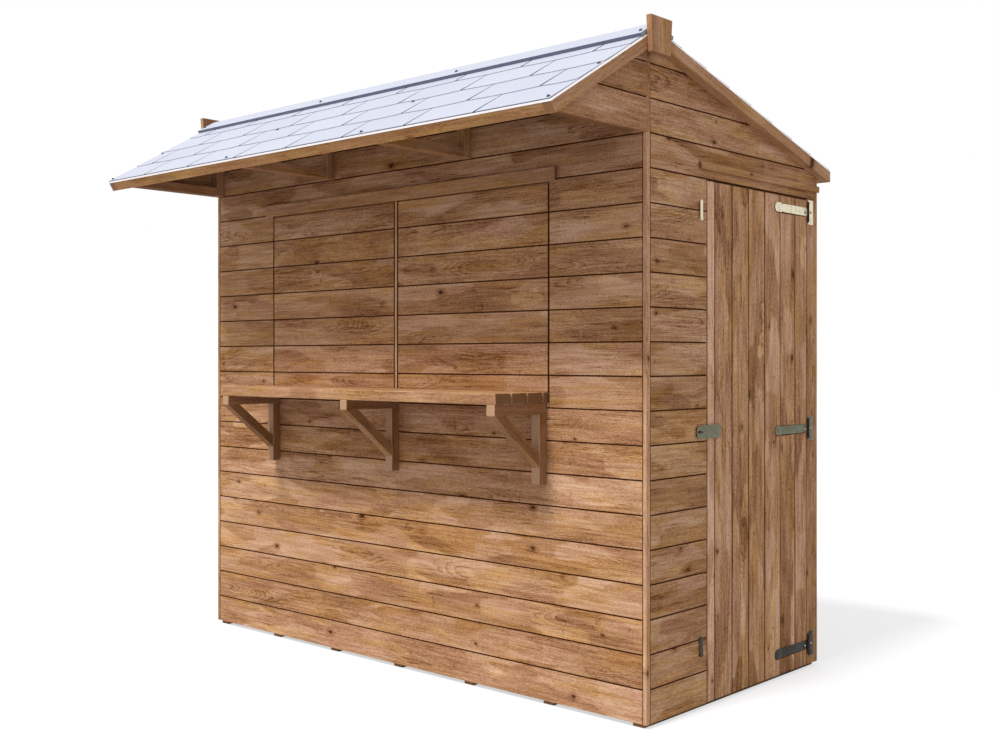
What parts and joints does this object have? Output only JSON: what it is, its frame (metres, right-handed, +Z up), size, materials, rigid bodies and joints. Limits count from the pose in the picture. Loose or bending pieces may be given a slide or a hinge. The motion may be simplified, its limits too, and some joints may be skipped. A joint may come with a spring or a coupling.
{
  "type": "garden bar shed",
  "caption": "Timber garden bar shed with a serving hatch and bar shelf under a front canopy, and a boarded door in one gable.",
  "frame": {"origin": "middle of the floor plan, on the ground, at the underside of the middle floor bearer", "axes": "+X along the front towards the door gable, +Y to the back wall, +Z up"},
  "size_m": [2.516, 1.7381, 2.316],
  "materials": {
    "stained_boards": "sawn, brown pressure-treated",
    "frame_timber": "planed",
    "bearer_timber": "sawn, treated",
    "roof_sheet": "matt tile-effect sheet",
    "galvanised": "galvanised"
  },
  "bodies": {
    "shed": {"floor_bearers": "bearer_timber", "floor_boards": "frame_timber", "front_wall_lower": "stained_boards", "front_wall_sides": "stained_boards", "front_wall_upper": "stained_boards", "hatch_panels": "stained_boards", "hatch_cover_strip": "stained_boards", "drip_battens": "stained_boards", "back_wall": "stained_boards", "left_gable": "stained_boards", "right_gable_front": "stained_boards", "right_gable_upper": "stained_boards", "right_gable_post": "stained_boards", "canopy_infills": "stained_boards", "corner_trims": "stained_boards", "long_wall_studs": "frame_timber", "gable_studs": "frame_timber", "long_wall_rails": "frame_timber", "gable_rails": "frame_timber", "canopy_posts": "stained_boards", "canopy_ties": "stained_boards", "canopy_rafters": "stained_boards", "rear_rafters": "frame_timber", "fascias": "stained_boards", "front_barge_boards": "stained_boards", "rear_barge_boards": "stained_boards", "finials": "stained_boards", "front_roof_sheet": "roof_sheet", "rear_roof_sheet": "roof_sheet", "ridge_capping": "roof_sheet", "shelf_slats": "stained_boards", "bracket_legs": "stained_boards", "bracket_arms": "stained_boards", "bracket_braces": "stained_boards", "hinge_plates": "galvanised", "hasp_staple": "galvanised", "turn_button_screws": "galvanised"},
    "door": {"door_leaf": "stained_boards", "door_ledges": "frame_timber", "door_braces": "frame_timber", "hinge_straps": "galvanised", "hasp_leaf": "galvanised"},
    "hasp": {"hasp_strap": "galvanised"},
    "upper_button": {"turn_button_upper": "galvanised"},
    "lower_button": {"turn_button_lower": "galvanised"}
  },
  "joints": [
    {"name": "door_hinge", "type": "hinge", "parent": "shed", "child": "door", "pos_m": [1.205, 0.498, 0.94], "axis": [0, 0, 1], "range_deg": [0, 165]},
    {"name": "hasp_hinge", "type": "hinge", "parent": "door", "child": "hasp", "pos_m": [1.205, -0.141, 0.959], "axis": [0, 0, 1], "range_deg": [0, 170]},
    {"name": "upper_button_turn", "type": "hinge", "parent": "shed", "child": "upper_button", "pos_m": [1.207, -0.264, 1.695], "axis": [-1, 0, 0], "range_deg": [0, 90]},
    {"name": "lower_button_turn", "type": "hinge", "parent": "shed", "child": "lower_button", "pos_m": [1.207, -0.264, 0.189], "axis": [-1, 0, 0], "range_deg": [0, 90]}
  ]
}
